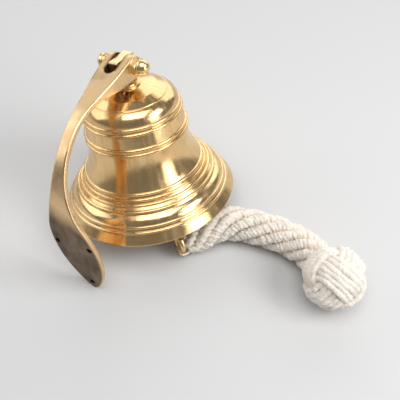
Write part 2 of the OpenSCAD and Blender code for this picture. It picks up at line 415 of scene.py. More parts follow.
def cotton(name):
    """Undyed cotton cord: twisted plies, soft fuzz, and painted shade that browns the gaps."""
    material, tree, shader = nodes_of(name)
    new, link = node_adder(tree), tree.links.new
    shader.inputs["Roughness"].default_value = 0.92
    shader.inputs["Sheen Weight"].default_value = 0.35
    shader.inputs["Sheen Roughness"].default_value = 0.5
    shader.inputs["Specular IOR Level"].default_value = 0.2
    place_in = new("ShaderNodeTexCoord")

    tint = new("ShaderNodeVertexColor")
    tint.layer_name = "Tint"
    # painted shade: the Tint runs from 0, brown, in the gaps and under other cords, to 1, cream, on
    # the crests
    ramp = new("ShaderNodeValToRGB")
    ramp.color_ramp.elements[0].position = 0.0
    ramp.color_ramp.elements[0].color = (0.52, 0.34, 0.17, 1)
    ramp.color_ramp.elements[1].position = 1.0
    ramp.color_ramp.elements[1].color = (0.92, 0.855, 0.77, 1)
    middle = ramp.color_ramp.elements.new(0.35)
    middle.color = (0.86, 0.74, 0.58, 1)
    link(tint.outputs["Color"], ramp.inputs["Fac"])
    spots = new("ShaderNodeTexNoise", {"Scale": 160.0, "Detail": 5.0})
    link(place_in.outputs["Object"], spots.inputs["Vector"])
    fade = new(
        "ShaderNodeMapRange", {"From Min": 0.35, "From Max": 0.7, "To Min": 0.86, "To Max": 1.0}
    )
    link(spots.outputs["Fac"], fade.inputs["Value"])
    shade = new("ShaderNodeMix", data_type="RGBA")
    shade.blend_type = "MULTIPLY"
    shade.inputs["Factor"].default_value = 1.0
    link(ramp.outputs["Color"], shade.inputs["A"])
    link(fade.outputs["Result"], shade.inputs["B"])
    link(shade.outputs["Result"], shader.inputs["Base Color"])

    # plies run slantwise round each cord: u goes round it, v along it in millimetres
    split = new("ShaderNodeSeparateXYZ")
    link(place_in.outputs["UV"], split.inputs["Vector"])
    phase = new("ShaderNodeMath", {1: 3.0}, operation="MULTIPLY_ADD")
    link(split.outputs["X"], phase.inputs[0])
    pitch = new("ShaderNodeMath", {1: 0.55}, operation="MULTIPLY")
    link(split.outputs["Y"], pitch.inputs[0])
    link(pitch.outputs["Value"], phase.inputs[2])
    plies = new("ShaderNodeMath", {1: 0.5}, operation="PINGPONG")
    link(phase.outputs["Value"], plies.inputs[0])
    fuzz = new("ShaderNodeTexNoise", {"Scale": 900.0, "Detail": 5.0, "Roughness": 0.65})
    link(place_in.outputs["Object"], fuzz.inputs["Vector"])
    total = new("ShaderNodeMath", {1: 0.5}, operation="MULTIPLY_ADD")
    link(plies.outputs["Value"], total.inputs[0])
    link(fuzz.outputs["Fac"], total.inputs[2])
    bump = new("ShaderNodeBump", {"Strength": 0.7, "Distance": 0.0009})
    link(total.outputs["Value"], bump.inputs["Height"])
    link(bump.outputs["Normal"], shader.inputs["Normal"])
    return material


TARNISHED = (0.116, 0.079, 0.053)
HALF_TARNISHED = (0.25, 0.165, 0.09)
# near black, painted as shade on the walls of the screw holes
HOLE_SHADE_COLOUR = (0.02, 0.014, 0.01)
POLISHED = brass(
    "brass_polished", (0.90, 0.64, 0.32), (0.60, 0.36, 0.15), 0.2, tarnish=0.7, turned=0.16
)
SATIN = brass("brass_satin", (0.85, 0.61, 0.34), (0.60, 0.39, 0.19), 0.3, tarnish=0.5, mask=True)
FITTINGS = brass("brass_fittings", (0.90, 0.67, 0.35), (0.62, 0.41, 0.18), 0.27, tarnish=0.5)
INNER = brass("brass_inner", (0.62, 0.46, 0.26), (0.34, 0.24, 0.12), 0.36, tarnish=0.7)
COTTON = cotton("cotton")

# ---------------------------------------------------------------- lanyard

# the rope's route, the same points as the CAD tube
ROUTE = [
    (34, -43, 10), (40, -38, 12), (46, -33.5, 14), (52, -29.5, 15.5),
    (59, -26, 15.5), (66, -24, 15.5), (74, -23.5, 15.5), (82, -24.5, 15.5),
    (90, -26.5, 15.5), (98, -29, 15.5), (106, -32, 15.5), (114, -35.5, 15.5),
    (121, -39.5, 15.5), (128, -44.5, 16), (134, -50.5, 17.5), (139, -57.5, 19.5),
    (143, -65, 22), (148, -74.5, 24.6), (153, -84, 27.2),
]
INTO_KNOT = 22.0  # the last stretch, inside the ball knot
RIDGES = 6
RIDGE_SLANT = math.radians(41)
WRAP_D = 4.7  # diameter of the cords that wrap each ridge
WRAP_PITCH = 3.3
ROPE_R = 15.6  # over the wraps
ROLL_H = 4.6  # how far each ridge stands over the gaps beside it
CORE_DEPTH = 5.6  # how far the core lies below the tops of the ridges
FLOOR = 0.25  # the cotton goes no lower than this

line = catmull(ROUTE, 0.8)
line_d = along(line)
line_t = np.gradient(line, axis=0)
line_t /= np.linalg.norm(line_t, axis=1)[:, None]
line_u = np.cross([0, 0, 1.0], line_t)
line_u /= np.linalg.norm(line_u, axis=1)[:, None]
line_v = np.cross(line_t, line_u)


def rope_radius(s):
    """Radius over the wraps at distance s: the strands gather at the start."""
    return np.interp(s, [0, 6, 14, 24, 200], [0.55, 0.75, 0.9, 1.0, 1.0]) * ROPE_R


def on_rope(s, angle, r):
    """Point at distance s along the rope, at an angle round it, r from its middle."""
    s = np.asarray(s, float)
    at = np.stack([np.interp(s, line_d, line[:, k]) for k in range(3)], -1)
    u = np.stack([np.interp(s, line_d, line_u[:, k]) for k in range(3)], -1)
    v = np.stack([np.interp(s, line_d, line_v[:, k]) for k in range(3)], -1)
    return at + r[..., None] * (np.cos(angle)[..., None] * u + np.sin(angle)[..., None] * v)


def rope_core(heap):
    """The middle that shows between the wraps, dark with painted shade."""
    s = np.linspace(0, line_d[-1], 90)
    sides = 24
    angles = 2 * np.pi * np.arange(sides) / sides
    ss, aa = np.meshgrid(s, angles, indexing="ij")
    verts = on_rope(ss.ravel(), aa.ravel(), (rope_radius(ss) - CORE_DEPTH).ravel())
    faces = grid_faces(len(s), sides)
    uvs = grid_uvs(len(s), sides, np.arange(sides + 1) / sides, s)
    faces.append(tuple(range(sides))[::-1])
    uvs.append([(0, 0)] * sides)
    heap.add(verts, faces, uvs, 0.05)


def rope_wraps(heap):
    """Each ridge is a fat roll of short cords laid across it, arched from gap to gap."""
    girth = 2 * np.pi * ROPE_R
    lead = girth / math.tan(RIDGE_SLANT)
    step = WRAP_PITCH * math.cos(RIDGE_SLANT)
    inset = WRAP_D * 0.47  # keeps the cords' ends out of the next ridge
    half = girth / RIDGES * math.cos(RIDGE_SLANT) / 2 - inset
    sides = 9
    bow = np.radians(np.linspace(-80, 80, 11))
    across = half * np.sin(bow) / math.sin(bow[-1])
    drop = ROLL_H * (1 - np.cos(bow)) / (1 - math.cos(bow[-1]))
    shade = np.clip(1.15 * np.cos(bow) ** 0.7 - 0.1, 0, 1)
    for ridge in range(RIDGES):
        s0 = rng.uniform(0, step)
        while s0 < line_d[-1] - INTO_KNOT + 3:
            size = rope_radius(s0) / ROPE_R
            lay = math.radians(rng.uniform(8, 34))  # the cords lean along the ridge
            e_across = across * size * rng.uniform(0.96, 1.06)
            e_along = e_across * math.tan(lay) + rng.uniform(-0.3, 0.3)
            ds = e_across * math.sin(RIDGE_SLANT) + e_along * math.cos(RIDGE_SLANT)
            dg = e_across * math.cos(RIDGE_SLANT) - e_along * math.sin(RIDGE_SLANT)
            s = np.maximum(s0 + ds, 0)
            angle = 2 * np.pi * (ridge / RIDGES - s0 / lead) + dg / (ROPE_R * size)
            r = rope_radius(s) - WRAP_D / 2 - drop * size + rng.uniform(-0.4, 0.1)
            thick = WRAP_D / 2 * rng.uniform(0.92, 1.15) * (1 - 0.12 * np.abs(np.sin(bow)))
            verts, faces, uvs = tube(on_rope(s, angle, r), thick, sides)
            verts = lumpy(verts, 6, 0.35) + rng.normal(0, 0.1, verts.shape)
            heap.add(verts, faces, uvs, np.repeat(shade * rng.uniform(0.9, 1), sides))
            s0 += step * rng.uniform(0.8, 1.2)


def rope_ends(heap):
    """Past the plait the strands run on side by side into the knot."""
    strand_at, strand_r = 9.0, 2.6
    s = np.linspace(line_d[-1] - INTO_KNOT - 6, line_d[-1] - 1, 12)
    for ridge in range(RIDGES):
        angle = np.full_like(s, 2 * np.pi * ridge / RIDGES)
        verts, faces, uvs = tube(on_rope(s, angle, np.full_like(s, strand_at)), strand_r, 8)
        # painted shade: the strands are half dark (tint 0.4) where they run in under the wraps and
        # into the knot
        heap.add(verts, faces, uvs, 0.4)


def rope():
    """The plait: its core, the cords that wrap its ridges, and the strands that enter the knot."""
    heap = Heap()
    rope_core(heap)
    rope_wraps(heap)
    rope_ends(heap)
    return heap.make("plaited_rope", COTTON, floor=FLOOR)


rope_piece = rope()
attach(rope_piece, "lanyard")
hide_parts("lanyard_rope")

# ball knot: three bands of parallel turns, each over its neighbour on two faces
KNOT_R = 26.4
TURNS = 6
TURN_D = 5.8
TURN_GAP = 0.69  # spacing of the turns, in diameters
TWIST = 9.0  # length of one full turn of a cord's plies
TO_CAMERA = np.array([0.16, -math.cos(math.radians(ELEVATION)), math.sin(math.radians(ELEVATION))])
FACE_SLOPE = math.radians(-40)  # slope of the cords on the face that looks up at the viewer


def knot_axes():
    """The knot's three axes: its front face, the run of the cords on it, and across them."""
    front = unit(TO_CAMERA)
    right = unit(np.array([1.0, 0, 0]) - front * front[0])
    up = np.cross(front, right)
    run = math.cos(FACE_SLOPE) * right + math.sin(FACE_SLOPE) * up
    return np.stack([front, run, np.cross(front, run)], 1)


def knot():
    """The ball knot: the turns of its three bands, and a filled middle."""
    lo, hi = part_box("ball_knot")
    centre = np.array((lo + hi) / 2) / MM
    heap = Heap()
    phi = np.linspace(0, 2 * np.pi, 200, endpoint=False)
    rise = 1.7  # a band lies this far out where it is on top, and in where it is under
    mid = KNOT_R - TURN_D / 2 - rise
    sides = 15
    for band in range(3):
        for k in range(TURNS):
            off = (k - (TURNS - 1) / 2) * TURN_D * TURN_GAP
            off = off + 0.4 * np.sin(phi * 2 + rng.uniform(0, 6))
            off = off + 0.25 * np.sin(phi * 5 + rng.uniform(0, 6))
            swell = rise * np.clip(1.5 * np.cos(2 * phi), -1, 1)
            r = np.sqrt(np.maximum((mid + swell + rng.uniform(-0.3, 0.3)) ** 2 - off**2, 1))
            loop = np.stack([r * np.cos(phi), r * np.sin(phi), off], 1)
            loop = np.roll(loop, band, axis=1)
            thick = TURN_D / 2 * (1 + 0.05 * np.sin(9 * phi + k))
            path = lumpy(loop @ knot_axes().T + centre, 14, 0.25)
            verts, faces, uvs = tube(path, thick, sides, closed=True, ply_pitch=TWIST)
            verts = verts + rng.normal(0, 0.07, verts.shape)
            # painted shade: each turn is lighter where its band lies on top and darker where it
            # dips under its neighbour
            top = np.clip(0.85 + 0.5 * np.cos(2 * phi), 0.4, 1)
            heap.add(verts, faces, uvs, np.repeat(top, sides))
    # packed middle that closes the gaps, dark (tint 0.1) with painted shade
    lat = np.linspace(-np.pi / 2 + 0.05, np.pi / 2 - 0.05, 24)
    rows = np.stack([np.cos(lat), np.sin(lat)], 1) * (mid + 0.3)
    verts, faces, uvs = lathe(rows, (np.eye(3), centre), 32)
    heap.add(verts, faces, uvs, 0.1)
    return heap.make("knot_cords", COTTON, floor=FLOOR)


knot_piece = knot()
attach(knot_piece, "lanyard")
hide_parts("ball_knot")

# loops of cord through the clapper's tail eye
EYE_WIRE = 2.6
LOOP_CORD = 2.0


def eye_loops():
    """Three cords round the bottom of the eye, drawn out towards the rope."""
    heap = Heap()
    phi = np.linspace(0, 2 * np.pi, 48, endpoint=False)
    tight = EYE_WIRE + LOOP_CORD / 2 + 0.15
    reach = 9.0
    sides = 12
    for off in (-1.6, 0.9, 3.3):
        out = np.cos(phi) * np.where(np.cos(phi) > 0, reach, tight)
        loop = np.stack([np.full_like(phi, off), out, tight * np.sin(phi)], 1)
        cord = place(loop, (CLAPPER[0], TAIL))
        verts, faces, uvs = tube(cord, LOOP_CORD / 2, sides, closed=True, ply_pitch=6)
        shade_round_eye = np.interp(out, [-tight, 2], [0, 0.75])  # painted shade: darker where it runs round the eye
        heap.add(verts, faces, uvs, np.repeat(shade_round_eye, sides))
    return heap.make("eye_cords", COTTON, floor=FLOOR)


loops_piece = eye_loops()
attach(loops_piece, "lanyard")
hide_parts("lanyard_loop")

# ---------------------------------------------------------------- bell


def arc(centre, r, a0, a1, n=16):
    """Points on an arc from angle a0 to a1, in degrees."""
    a = np.radians(np.linspace(a0, a1, n + 1))
    return np.stack([centre[0] + r * np.cos(a), centre[1] + r * np.sin(a)], 1)


def resample(points, step):
    """The same polyline with points about every step, its corners kept."""
    out = [np.asarray(points[:1], float)]
    for p, q in zip(points[:-1], points[1:]):
        n = max(1, int(math.ceil(np.linalg.norm(np.subtract(q, p)) / step)))
        out.append(np.asarray(p) + np.outer(np.arange(1, n + 1) / n, np.subtract(q, p)))
    return np.vstack(out)


BORE_R = 4.05  # bores that the 8 mm stud and bolt go through
CROWN_Z, CEILING_Z = 107.5, 101.5  # top and underside of the crown

OUTSIDE = np.vstack([
    arc((74, 1), 1, -90, 20, 8),
    [(70.4, 7.8), (66.6, 14.2)],
    arc((56.3, 10.9), 10.8, 18, 66, 14),
    [(58.2, 24), (55.2, 27), (51.8, 31.5)],
    arc((90.4, 62), 48, 213, 178, 30),
    [(42.4, 66), (42, 72), (40.6, 82), (39.4, 89)],
    arc((26.6, 89), 12.6, 0, 62, 20),
    [(30.9, 101.2), (24, 104.6), (15, 106.8), (12, CROWN_Z)],
])
INSIDE = np.vstack([
    [(BORE_R, CROWN_Z), (BORE_R, CEILING_Z), (14, CEILING_Z)],
    arc((24.4, 88), 11, 80, 0, 14),
    [(38, 68)],
    arc((86.4, 62), 48, 178, 211, 24),
    [(50, 27), (57, 15), (63.5, 7.5), (71.5, 0)],
])
# the outermost point of each bead, as (radius, height)
BEADS = [
    (40, 88.3), (41, 84.1), (42.9, 71.1), (43.2, 66.6), (51.4, 34.3),
    (53.2, 30), (56.4, 26.9), (60, 22.9), (67.4, 13), (69.8, 9.2),
]
BEAD_R = 1.4
BEAD_SINK = 0.55  # how far its middle lies inside that point, in its own radii
CROWN_GROOVE = (31.8, 100.9, 0.7)  # the middle of its round, and its radius


def turn_round(outline, centre, r, groove=False):
    """The outline led round a circle that it crosses: outside for a bead, inside for a groove."""
    near = np.flatnonzero(np.linalg.norm(outline - centre, axis=1) < r)
    first, last = outline[near[0]], outline[near[-1]]
    a0 = math.degrees(math.atan2(*(first - centre)[::-1]))
    a1 = math.degrees(math.atan2(*(last - centre)[::-1]))
    if groove:
        a1 -= 360 * (a1 > a0)
    else:
        a1 += 360 * (a1 < a0)
    return np.vstack([outline[: near[0]], arc(centre, r, a0, a1, 14), outline[near[-1] + 1 :]])


def bell():
    """The turned bell: its outer profile with beads and groove, then its inner one."""
    outline = resample(OUTSIDE, 0.3)
    for r, z in BEADS:
        outline = turn_round(outline, np.array([r - BEAD_SINK * BEAD_R, z]), BEAD_R)
    outline = turn_round(outline, np.array(CROWN_GROOVE[:2]), CROWN_GROOVE[2], groove=True)
    profile = np.vstack([outline, resample(INSIDE, 1.5), outline[:1]])
    verts, faces, uvs = lathe(profile, BELL, 256)
    return new_object("bell_casting", verts, faces, POLISHED, uvs, sharp=50)


def ready(obj, body, node):
    """Hands a piece over: the body it rides on and the CAD node it replaces."""
    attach(obj, body)
    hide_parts(node)
    return obj


ready(bell(), "bell", "bell_shell")

# ---------------------------------------------------------------- fittings of the crown

AXIS = 0.01  # radius where a turned profile meets its axis
SHANK_R = 4.0  # stud and bolt
LUG_FOOT = 110.5  # top of the collar, where the lug stands
NUT_ACROSS = 13  # across flats


def turned_piece(name, profile, where, material, segments=96, sharp=35.0, closed=True):
    """A turned object; its profile is joined up at the ends if closed."""
    rows = np.vstack([profile, profile[:1]]) if closed else np.asarray(profile, float)
    verts, faces, uvs = lathe(rows, where, segments)
    return new_object(name, verts, faces, material, uvs, sharp)


def soft_corner(a, b, c, r, n=5):
    """Points that round off the corner b of the path a, b, c."""
    a, b, c = (np.asarray(p, float) for p in (a, b, c))
    p, q = b + unit(a - b) * r, b + unit(c - b) * r
    t = np.linspace(0, 1, n)[:, None]
    return (1 - t) ** 2 * p + 2 * t * (1 - t) * b + t**2 * q


def rounded(points, radii):
    """A closed outline with each corner rounded off by its radius."""
    n = len(points)
    out = []
    for i, r in enumerate(radii):
        if r:
            out.append(soft_corner(points[i - 1], points[i], points[(i + 1) % n], r))
        else:
            out.append(np.asarray(points[i : i + 1], float))
    return np.vstack(out)


def shifted(where, origin, turn=None):
    """A frame with its origin at a point of another frame, and turned in it."""
    base, start = where
    spin = base if turn is None else base @ turn
    return (spin, start + base @ np.asarray(origin, float))


def prism(name, outline, x0, x1, where, material, edge=0.5, through=2):
    """A slab with the outline in two axes, from x0 to x1 along the axis through, edges eased."""
    outline = np.asarray(outline, float)
    middle = outline.mean(0)
    rows = []
    for depth, inset in ((x0, edge), (x0 + 0.3 * edge, 0.3 * edge), (x0 + edge, 0),
                         (x1 - edge, 0), (x1 - 0.3 * edge, 0.3 * edge), (x1, edge)):
        span = np.abs(outline - middle).max(0)
        ring = middle + (outline - middle) * (1 - inset / span)
        rows.append(np.insert(ring, through, depth, axis=1))
    n = len(outline)
    verts = np.vstack(rows)
    faces = grid_faces(len(rows), n)
    faces += [tuple(range(n))[::-1], tuple(range((len(rows) - 1) * n, len(rows) * n))]
    obj = new_object(name, place(verts, where), faces, material, None, 50)
    tidy_normals(obj)
    keep_flats(obj)
    return obj


def bake_modifiers(obj):
    """Applies the object's modifiers to its mesh."""
    bpy.context.view_layer.update()
    graph = bpy.context.evaluated_depsgraph_get()
    shape = bpy.data.meshes.new_from_object(obj.evaluated_get(graph))
    obj.modifiers.clear()
    obj.data = shape


def keep_flats(obj):
    """Leaves the shading of wide flat faces flat beside their rounded edges."""
    step = obj.modifiers.new("flats", "WEIGHTED_NORMAL")
    step.keep_sharp = True
    step.weight = 100
    bake_modifiers(obj)


def tidy_normals(obj):
    """Points every face of a closed mesh outwards."""
    work = bmesh.new()
    work.from_mesh(obj.data)
    bmesh.ops.recalc_face_normals(work, faces=work.faces)
    work.to_mesh(obj.data)
    work.free()


collar = rounded(
    [(BORE_R, CROWN_Z), (11.5, CROWN_Z), (11.5, 109.3), (9.5, 109.3), (9.5, LUG_FOOT),
     (BORE_R, LUG_FOOT)],
    [0, 0, 0.5, 0.3, 0.5, 0],
)
ready(turned_piece("collar", collar, BELL, FITTINGS), "bell", "crown_collar")

LUG_HALF, LUG_TOP, LUG_T = 11.3, 131.5, 8.4
LUG = rounded(
    [(-LUG_HALF, LUG_FOOT), (-LUG_HALF, LUG_TOP), (LUG_HALF, LUG_TOP), (LUG_HALF, LUG_FOOT)],
    [0, 1.2, 2.4, 0],
)


def lug():
    """Flat lug with a stud below it; its corner away from the wall plate is the rounder one."""
    slab = prism("lug", LUG, -LUG_T / 2, LUG_T / 2, BELL, FITTINGS, through=0)
    low, high = 90.5, LUG_FOOT + 1
    rod = [(AXIS, low), (3.6, low), (SHANK_R, low + 0.5), (SHANK_R, high), (AXIS, high)]
    stud = turned_piece("stud", rod, BELL, INNER, 48, closed=False)
    return join([slab, stud], "crown_lug_and_stud")


def join(objects, name):
    """One object out of several, keeping each one's material."""
    bpy.ops.object.select_all(action="DESELECT")
    for obj in objects:
        obj.select_set(True)
    bpy.context.view_layer.objects.active = objects[0]
    bpy.ops.object.join()
    objects[0].name = name
    return objects[0]


ready(lug(), "bell", "crown_lug")


def hex_nut(name, across, height, where, material):
    """A hexagon nut with its corners turned down at both ends."""
    per_side = 10
    angle = 2 * np.pi * np.arange(6 * per_side) / (6 * per_side)
    flat = across / 2 / np.cos(angle % (np.pi / 3) - np.pi / 6)
    fall = (flat - across / 2) * 0.6
    ease = across / 2 - 0.35
    rings = [
        (np.full_like(angle, SHANK_R), np.zeros_like(angle)),
        (np.full_like(angle, ease), np.zeros_like(angle)),
        (flat, 0.12 + fall),
        (flat, height - 0.12 - fall),
        (np.full_like(angle, ease), np.full_like(angle, height)),
        (np.full_like(angle, SHANK_R), np.full_like(angle, height)),
    ]
    verts = np.vstack([np.stack([r * np.cos(angle), r * np.sin(angle), z], 1) for r, z in rings])
    faces = grid_faces(len(rings), len(angle))
    n = len(angle)
    top = (len(rings) - 1) * n
    faces += [(top + i, top + (i + 1) % n, (i + 1) % n, i) for i in range(n)]
    obj = new_object(name, place(verts, where), faces, material, None, 25)
    tidy_normals(obj)
    keep_flats(obj)
    return obj


WASHER_Z, CROWN_NUT_H = 100, 6.5
nut_place = shifted(BELL, (0, 0, WASHER_Z - CROWN_NUT_H))
crown_nut = hex_nut("nut_under_crown", NUT_ACROSS, CROWN_NUT_H, nut_place, INNER)
ready(crown_nut, "bell", "inner_nut")
washer = rounded(
    [(BORE_R, WASHER_Z), (11, WASHER_Z), (11, CEILING_Z), (BORE_R, CEILING_Z)], [0, 0.4, 0.4, 0]
)
crown_washer = turned_piece("washer_under_crown", washer, BELL, INNER)
ready(crown_washer, "bell", "inner_washer")

# ---------------------------------------------------------------- cross bolt

ACROSS = np.array([[0, 0, 1.0], [0, 1, 0], [-1, 0, 0]])  # turns +Z of a piece along the bolt
BOLT = shifted(BELL, (0, 0, BOLT_Z), ACROSS)


def bolt_piece(name, profile, node, start, sharp=35.0):
    """A turned piece of the bracket on the bolt's axis, its near end at start."""
    where = shifted(BOLT, (0, 0, start))
    obj = turned_piece(name, profile, where, FITTINGS, 96, sharp, closed=False)
    return ready(obj, "bracket", node)


NUT_H = 4.0
NECK_H, HEAD_H, DOME_H = 4.2, 6.3, 4.38
PRONG = DOME_H + HEAD_H  # where the head bears on the fork, from the end of the dome
SHANK_LEN = 33.5
PRONG_X = 12  # outer faces of the fork, from the bell's axis
WASHER_T = 1

# from the domed end, past the collar and the neck, to the threaded end inside the acorn nut
flat_dome = arc((0, 0), 6, -90, -4, 20) * [1, DOME_H / 6] + [0, DOME_H]
head = np.vstack([
    [(AXIS, 0.0)],
    flat_dome[1:],
    [(5.75, DOME_H + 0.15), (6.0, DOME_H + 0.45)],
    soft_corner((6, 5), (6, PRONG - NECK_H), (5.7, PRONG - NECK_H), 0.25),
    [(5.55, PRONG - NECK_H + 0.1), (5.7, PRONG - NECK_H + 0.4)],
    [(5.7, PRONG), (SHANK_R, PRONG), (SHANK_R, PRONG + SHANK_LEN), (AXIS, PRONG + SHANK_LEN)],
])
bolt_piece("bolt", head, "pivot_bolt", -PRONG_X - PRONG)
disc = rounded([(BORE_R, 0), (7.6, 0), (7.6, WASHER_T), (BORE_R, WASHER_T)], [0, 0.3, 0.3, 0])
bolt_washer = turned_piece("washer", disc, shifted(BOLT, (0, 0, PRONG_X)), FITTINGS)
ready(bolt_washer, "bracket", "bolt_washer")
nut_at = PRONG_X + WASHER_T
bolt_nut = hex_nut("hex_nut", NUT_ACROSS, NUT_H, shifted(BOLT, (0, 0, nut_at)), FITTINGS)
ready(bolt_nut, "bracket", "jam_nut")
dome = np.vstack([
    [(BORE_R, 0), (6.2, 0)],
    soft_corner((5.5, 0), (6.6, 0.1), (6.6, 1.3), 0.3),
    soft_corner((6.6, 0.5), (6.6, 1.5), (6.2, 1.5), 0.3),
    [(6.1, 1.55)],
    arc((0, 1.7), 6.2, 4, 90, 30)[:-1],
    [(AXIS, 7.9)],
])
bolt_piece("acorn", dome, "acorn_nut", nut_at + NUT_H, sharp=40)

# ---------------------------------------------------------------- bracket

ARM_T = 4.5
# the neck's outer face follows a circle, as (distance from the bell's axis, height)
ARC_C = np.array([30.5, 46.5])
ARC_R = 74.6
PLATE_TILT = math.radians(8)
TIP_Z = -35.8
TIP_R = 5.2
TIP_ARC = 37  # angle at which the tip's round meets the plate's long sides
WIDEST_Z = 11  # where the plate is widest
FORK_R = 9.3
PLATE_HALF = 21.0
EDGE_R = 1.35  # round on the long edges

# half-width of the neck against the distance from the bell's axis
NECK = [(-12, 12), (13, 12), (18, 11.6), (24.4, 11), (30.5, 10.2), (36, 9.2), (41, 8.15),
        (46.5, 7.35), (52, 6.6), (58.5, 5.95), (65, 5.4), (72, 5), (95, 5)]
# half-width of the lower arm against its height, as (half-width, height)
ARM = [(11.3, 56), (8.2, 68), (6.4, 79), (5, 92), (5, 101)]


def plate_p(z):
    """Distance of the plate's outer face from the bell's axis at height z."""
    arc_end = ARC_C + ARC_R * np.array([math.cos(PLATE_TILT), -math.sin(PLATE_TILT)])
    return arc_end[0] - math.tan(PLATE_TILT) * (arc_end[1] - z)


def plate_half(z):
    """Half-width of the leaf-shaped plate and the lower arm at height z."""
    lower = arc((PLATE_HALF - 70, WIDEST_Z), 70, -TIP_ARC, -3, 20)
    upper = arc((PLATE_HALF - 95, WIDEST_Z), 95, 0, 25, 16)
    tip = arc((0, TIP_Z + TIP_R), TIP_R, -90, -TIP_ARC, 16)
    table = np.vstack([tip, lower, upper, ARM])
    return float(np.interp(z, table[:, 1], table[:, 0]))


def bracket_stations():
    """Pairs of points on the outer and inner faces, with the half-width there, from fork to tip."""
    fork = np.array([0, FORK_Z])
    outer = [arc(fork, FORK_R, 174, 82, 18)]
    inner = [arc(fork, FORK_R, 174, 266, 18)]
    inner_arc_r = ARC_R - ARM_T
    top_out, top_in = arc(ARC_C, ARC_R, 78, 78, 0)[0], arc(ARC_C, inner_arc_r, 81, 81, 0)[0]
    f = np.linspace(0, 1, 26)[1:-1]
    outer.append(outer[0][-1] + np.outer(f, top_out - outer[0][-1]))
    low = np.array([inner[0][-1], (15, 114.5), top_in])
    d = along(low)
    inner.append(np.stack([np.interp(f * d[-1], d, low[:, k]) for k in range(2)], 1))
    outer.append(arc(ARC_C, ARC_R, 78, -8, 70))
    inner.append(arc(ARC_C, inner_arc_r, 81, -8, 70))
    tip_from = TIP_Z + TIP_R * (1 - math.sin(math.radians(TIP_ARC)))
    tip = TIP_Z + TIP_R * (1 - np.sin(np.radians(np.linspace(TIP_ARC + 3, 89, 12))))
    heights = np.r_[np.linspace(outer[-1][-1][1], tip_from, 40)[1:], tip]
    flat = np.array([(plate_p(z), z) for z in heights])
    outer.append(flat)
    inner.append(flat - ARM_T * np.array([math.cos(PLATE_TILT), -math.sin(PLATE_TILT)]))
    outer, inner = np.vstack(outer), np.vstack(inner)
    half = []
    for p, z in outer:
        w = plate_half(z) if z < 101 else 0
        if z > 95:
            w = max(w, float(np.interp(p, *np.array(NECK).T)))
        half.append(w)
    half = np.array(half)
    smooth = np.convolve(np.pad(half, 3, mode="edge"), np.ones(7) / 7, mode="valid")
    fork_rows, tip_rows = 24, 26  # these keep their exact widths
    smooth[:fork_rows] = half[:fork_rows]
    smooth[-tip_rows:] = half[-tip_rows:]
    return outer, inner, smooth


# where the points along a wide side lie, as shares of its width
ACROSS_FLAT = np.array([0.02, 0.06, 0.15, 0.3, 0.5, 0.7, 0.85, 0.94, 0.98])


def section(half_w, half_t, r, n=5):
    """A rounded rectangle, as (across, through) pairs, with points along its wide sides."""
    r = min(r, half_t * 0.95, half_w * 0.95)
    out = []
    for sx, sy, a0 in ((1, 1, 0), (-1, 1, 90), (-1, -1, 180), (1, -1, 270)):
        corner = arc((sx * (half_w - r), sy * (half_t - r)), r, a0, a0 + 90, n)
        out.append(corner)
        if sx == sy:  # the wide sides follow these two corners
            end = corner[-1] * [-1, 1]
            out.append(corner[-1] + ACROSS_FLAT[:, None] * (end - corner[-1]))
    return np.vstack(out)


def bracket():
    """The casting: one section after another from the fork to the tip of the wall plate."""
    outer, inner, half = bracket_stations()
    rows, dull = [], []
    for o, i, w in zip(outer, inner, half):
        thick = max(np.linalg.norm(o - i), 0.05)
        through = (o - i) / thick if thick > 0.05 else np.array([0.0, 1.0])
        edge = section(w, thick / 2, EDGE_R)
        middle = (o + i) / 2
        pz = middle + edge[:, 1:] * through
        rows.append(np.stack([edge[:, 0], -pz[:, 0], pz[:, 1]], 1))
        # tarnish covers the wall face of the plate, and is rubbed off along its rim
        low = np.clip((60 - pz[:, 1] - edge[:, 0] * 0.5) / 18, 0, 1)
        face = np.clip((edge[:, 1] / (thick / 2) - 0.55) / 0.3, 0, 1)
        rim = np.clip((w - np.abs(edge[:, 0])) / 1.6, 0, 1)
        dull.append(low * face * (0.2 + 0.8 * rim))
    n = len(rows[0])
    faces = grid_faces(len(rows), n)
    faces += [tuple(range(n))[::-1], tuple(range((len(rows) - 1) * n, len(rows) * n))]
    verts = place(np.vstack(rows), BELL)
    tint = np.concatenate(dull)
    obj = new_object("swan_neck_bracket", verts, faces, SATIN, sharp=None, tint=tint)
    tidy_normals(obj)
    return obj


def cut(obj, cutters):
    """Takes the cutters out of the bracket, removes them, and finishes the new edges."""
    for cutter in cutters:
        step = obj.modifiers.new("cut", "BOOLEAN")
        step.operation = "DIFFERENCE"
        step.object = cutter
        step.solver = "EXACT"
    bake_modifiers(obj)
    for cutter in cutters:
        bpy.data.objects.remove(cutter)
    darken_holes(obj.data)
    obj.data.set_sharp_from_angle(angle=math.radians(40))
    keep_flats(obj)


